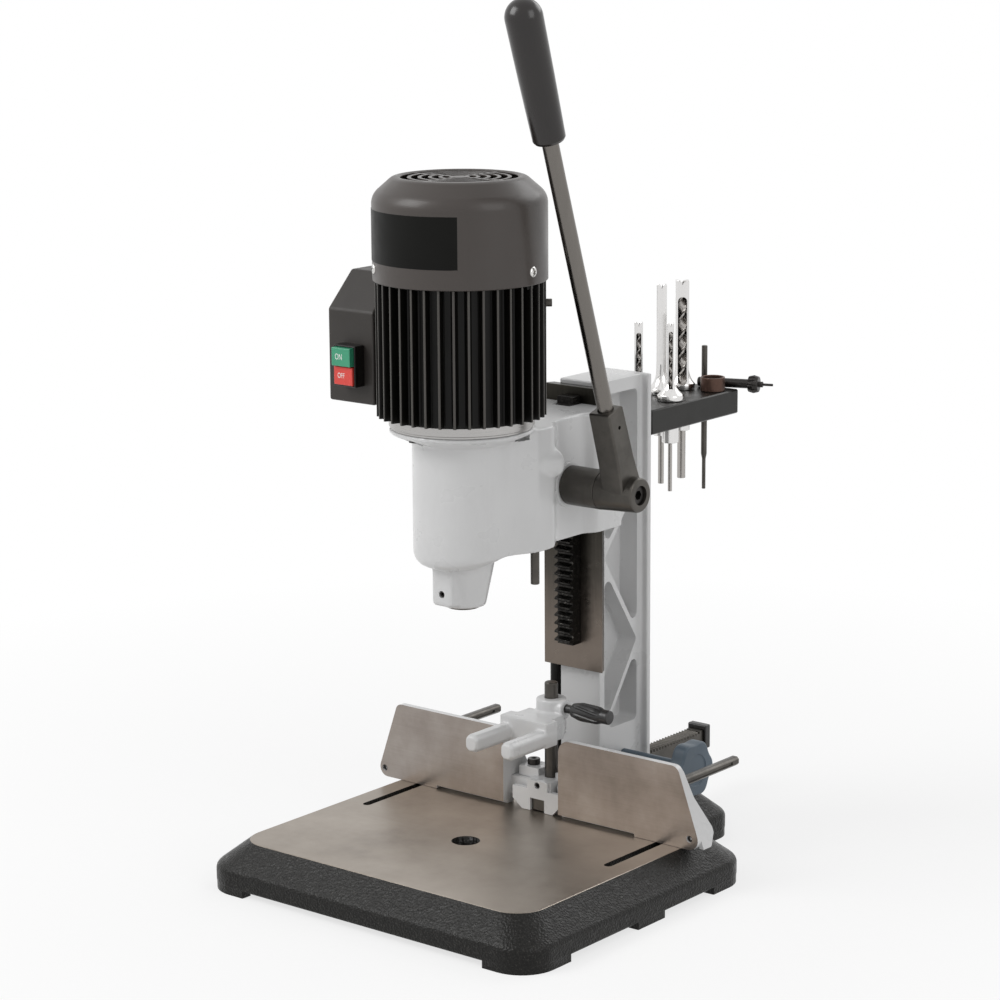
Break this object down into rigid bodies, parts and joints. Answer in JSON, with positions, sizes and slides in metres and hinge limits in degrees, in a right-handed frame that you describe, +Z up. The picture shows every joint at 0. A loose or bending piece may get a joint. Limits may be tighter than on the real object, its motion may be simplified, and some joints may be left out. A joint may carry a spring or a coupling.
{
  "type": "benchtop mortiser",
  "caption": "Benchtop hollow chisel mortiser: motor head on a rack-driven slide, pull lever, cast table, geared fence with hold-down, and a rear holder of square chisels.",
  "frame": {"origin": "on the bench, under the middle of the machine's overall box", "axes": "+Z up along the column, +Y from the operator to the rear, +X to the operator's right, where the lever is"},
  "size_m": [0.3825, 0.5481, 0.8007],
  "materials": {
    "black_casting": "black hammered enamel on cast iron, with a machined table",
    "white_casting": "white enamel on cast iron",
    "dark_steel": "blackened steel",
    "bright_steel": "ground steel",
    "cast_aluminium": "bare cast aluminium",
    "motor_black": "black enamel on finned aluminium",
    "fan_cover_paint": "dark grey enamel on pressed steel",
    "black_plastic": "black moulded plastic",
    "black_rubber": "smooth black rubber",
    "green_plastic": "green moulded plastic",
    "red_plastic": "red moulded plastic",
    "blue_plastic": "blue-grey moulded plastic",
    "bronze": "dark sintered bronze",
    "copper": "lacquered copper windings on laminated steel"
  },
  "bodies": {
    "stand": {"base": "black_casting", "column": "white_casting", "slide_way": "dark_steel", "slide_rack": "dark_steel", "gas_spring_cylinder": "dark_steel", "tool_holder": "black_plastic", "chisel_five_sixteenths": "bright_steel", "chisel_quarter": "bright_steel", "chisel_three_eighths": "bright_steel", "chisel_half": "bright_steel", "auger_five_sixteenths": "bright_steel", "auger_quarter": "bright_steel", "auger_three_eighths": "bright_steel", "auger_half": "bright_steel", "chuck_key": "dark_steel", "chuck_key_bar": "dark_steel", "spare_bushing": "bronze"},
    "fence": {"fence_left": "white_casting", "fence_right": "white_casting", "fence_bracket": "white_casting", "fence_screw_left": "dark_steel", "fence_screw_right": "dark_steel", "fence_rack_bar": "dark_steel", "rack_bar_cap": "black_plastic", "hold_down_post": "dark_steel", "bracket_set_screw": "dark_steel", "clamp_bolt_left": "bright_steel", "clamp_bolt_right": "bright_steel"},
    "fence_drive": {"fence_pinion": "dark_steel", "fence_knob": "blue_plastic"},
    "clamp_right": {"clamp_lever_right": "dark_steel"},
    "clamp_left": {"clamp_lever_left": "dark_steel"},
    "hold_down": {"hold_down_fork": "white_casting"},
    "hold_down_handle": {"hold_down_lock": "black_plastic"},
    "head": {"head_casting": "white_casting", "head_gib": "bronze", "nose_set_screw": "dark_steel", "depth_lock_screw": "dark_steel", "motor_end_bell": "cast_aluminium", "motor_frame": "motor_black", "stator": "copper", "motor_bearing_lower": "bright_steel", "motor_bearing_upper": "bright_steel", "fan_cover": "fan_cover_paint", "switch_box": "black_plastic", "switch_housing": "black_plastic", "cord_gland": "black_plastic", "nose_bushing": "dark_steel", "gas_spring_rod": "bright_steel"},
    "spindle": {"rotor_shaft": "bright_steel", "drill_chuck": "dark_steel", "cooling_fan": "black_plastic"},
    "pinion": {"pinion_shaft": "dark_steel"},
    "lever": {"lever_block": "dark_steel", "lever_rod": "dark_steel", "lever_grip": "black_rubber", "lever_screw": "dark_steel"},
    "start_button": {"on_button": "green_plastic"},
    "stop_button": {"off_button": "red_plastic"},
    "depth_stop": {"depth_rod": "dark_steel"}
  },
  "joints": [
    {"name": "head_slide", "type": "slide", "parent": "stand", "child": "head", "axis": [0, 0, -1], "range_m": [0, 0.082], "stiffness_N_per_m": 300, "springref_m": -0.9},
    {"name": "spindle_spin", "type": "hinge", "parent": "head", "child": "spindle", "pos_m": [0, -0.12666, 0.436], "axis": [0, 0, 1], "continuous": true},
    {"name": "lever_turn", "type": "hinge", "parent": "head", "child": "pinion", "pos_m": [0, -0.02716, 0.3615], "axis": [1, 0, 0], "range_deg": [0, 104.5]},
    {"name": "lever_index", "type": "hinge", "parent": "pinion", "child": "lever", "pos_m": [0.102, -0.02716, 0.3615], "axis": [1, 0, 0], "range_deg": [-90, 0]},
    {"name": "start_button_press", "type": "slide", "parent": "head", "child": "start_button", "axis": [0, 1, 0], "range_m": [0, 0.003], "stiffness_N_per_m": 500, "springref_m": -0.002},
    {"name": "stop_button_press", "type": "slide", "parent": "head", "child": "stop_button", "axis": [0, 1, 0], "range_m": [0, 0.003], "stiffness_N_per_m": 500, "springref_m": -0.002},
    {"name": "depth_stop_slide", "type": "slide", "parent": "head", "child": "depth_stop", "axis": [0, 0, -1], "range_m": [0, 0.012]},
    {"name": "fence_slide", "type": "slide", "parent": "stand", "child": "fence", "axis": [0, 1, 0], "range_m": [-0.09, 0.015]},
    {"name": "fence_drive_turn", "type": "hinge", "parent": "stand", "child": "fence_drive", "pos_m": [0, 0.08034, 0.07952], "axis": [1, 0, 0], "range_deg": [-312.7, 52.3]},
    {"name": "right_clamp_turn", "type": "hinge", "parent": "fence", "child": "clamp_right", "pos_m": [0.1415, 0.00134, 0.0743], "axis": [0, 0, 1], "range_deg": [-75, 10]},
    {"name": "left_clamp_turn", "type": "hinge", "parent": "fence", "child": "clamp_left", "pos_m": [-0.1415, 0.00134, 0.0743], "axis": [0, 0, 1], "range_deg": [-10, 75]},
    {"name": "hold_down_slide", "type": "slide", "parent": "fence", "child": "hold_down", "axis": [0, 0, 1], "range_m": [-0.033, 0.008]},
    {"name": "hold_down_lock_turn", "type": "hinge", "parent": "hold_down", "child": "hold_down_handle", "pos_m": [0.0175, -0.00066, 0.142], "axis": [1, 0, 0], "range_deg": [-120, 60]}
  ],
  "couplings": [
    {"joint": "lever_turn", "follows": "head_slide", "rad_per_m": 22.222},
    {"joint": "fence_drive_turn", "follows": "fence_slide", "rad_per_m": 60.606}
  ]
}
